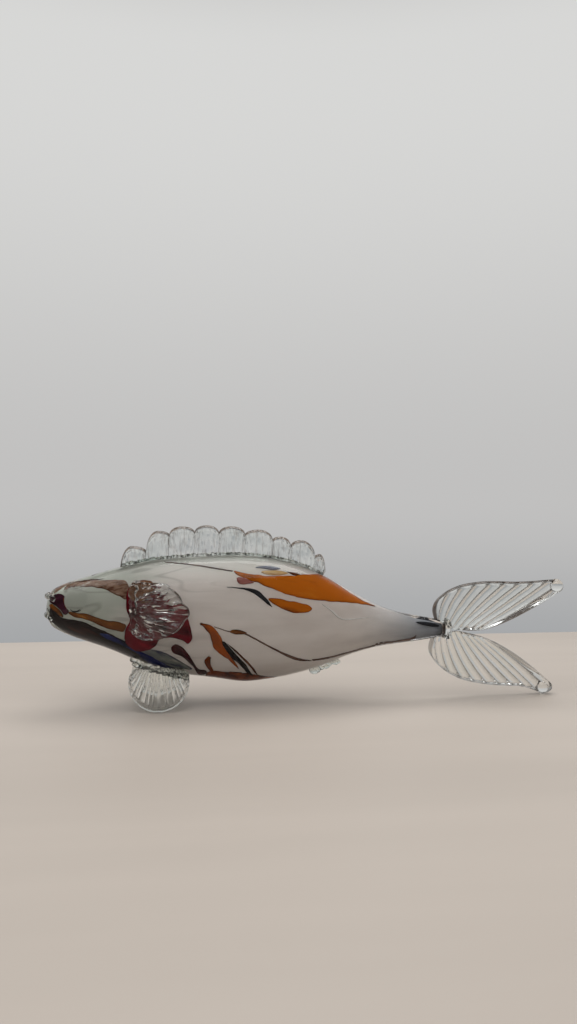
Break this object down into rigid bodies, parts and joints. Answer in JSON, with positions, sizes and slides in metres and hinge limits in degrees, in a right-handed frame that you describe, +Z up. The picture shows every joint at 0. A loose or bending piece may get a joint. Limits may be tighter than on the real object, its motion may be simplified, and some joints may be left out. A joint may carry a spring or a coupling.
{
  "type": "fish figurine",
  "caption": "Cased art-glass fish with coloured chips under clear glass, a crimped dorsal fin, fan-shaped side and belly fins and a forked ribbed tail, standing on its belly fins and tail tip.",
  "frame": {"origin": "on the supporting surface, under the middle of the fish's box", "axes": "+X from the mouth towards the tail, +Z up, the fish's left side towards -Y"},
  "size_m": [0.344, 0.0704, 0.1148],
  "materials": {
    "clear_crystal": "polished clear crystal with a faint grey-green tint",
    "ribbed_crystal": "clear crystal, hand-pressed into soft ribs",
    "white_opal": "opaque white opal glass with faint grey streaks",
    "smoke_glass": "dark smoke glass",
    "amber_glass": "warm amber glass chips, cloudy",
    "honey_glass": "pale honey glass",
    "blue_grey_glass": "blue-grey glass",
    "brown_glass": "brown glass, streaky",
    "red_glass": "deep red glass",
    "black_glass": "near-black glass",
    "cobalt_glass": "cobalt blue glass",
    "plum_glass": "plum purple glass"
  },
  "bodies": {
    "root": {"crystal_casing": "clear_crystal", "white_lining": "white_opal", "tail_dark_core": "smoke_glass", "upper_lip": "clear_crystal", "lower_lip": "clear_crystal", "eye_left": "clear_crystal", "eye_right": "clear_crystal", "dorsal_fin": "ribbed_crystal", "anal_fin": "ribbed_crystal", "pectoral_fin_left": "ribbed_crystal", "pectoral_fin_right": "ribbed_crystal", "pelvic_fin_left": "ribbed_crystal", "pelvic_fin_right": "ribbed_crystal", "tail_knuckle": "clear_crystal", "tail_lobe_upper": "ribbed_crystal", "tail_lobe_lower": "ribbed_crystal", "back_amber_patch": "amber_glass", "back_honey_sliver": "honey_glass", "back_blue_streak": "blue_grey_glass", "back_dark_thread": "brown_glass", "side_red_chip": "red_glass", "side_dark_streak": "black_glass", "side_amber_patch": "amber_glass", "flank_brown_thread": "brown_glass", "belly_amber_band": "amber_glass", "belly_black_streak": "black_glass", "belly_amber_hook": "amber_glass", "belly_brown_patch": "brown_glass", "throat_maroon_streak": "red_glass", "jaw_blue_band": "cobalt_glass", "jaw_black_band": "black_glass", "jaw_amber_band": "amber_glass", "mouth_plum_patch": "plum_glass", "mouth_amber_patch": "amber_glass", "cheek_red_patch": "red_glass", "brow_brown_streak": "brown_glass", "back_amber_patch_right": "amber_glass", "side_amber_patch_right": "amber_glass", "belly_amber_band_right": "amber_glass", "jaw_blue_band_right": "cobalt_glass", "jaw_amber_band_right": "amber_glass", "mouth_plum_patch_right": "plum_glass", "cheek_red_patch_right": "red_glass", "brow_brown_streak_right": "brown_glass"}
  },
  "joints": []
}
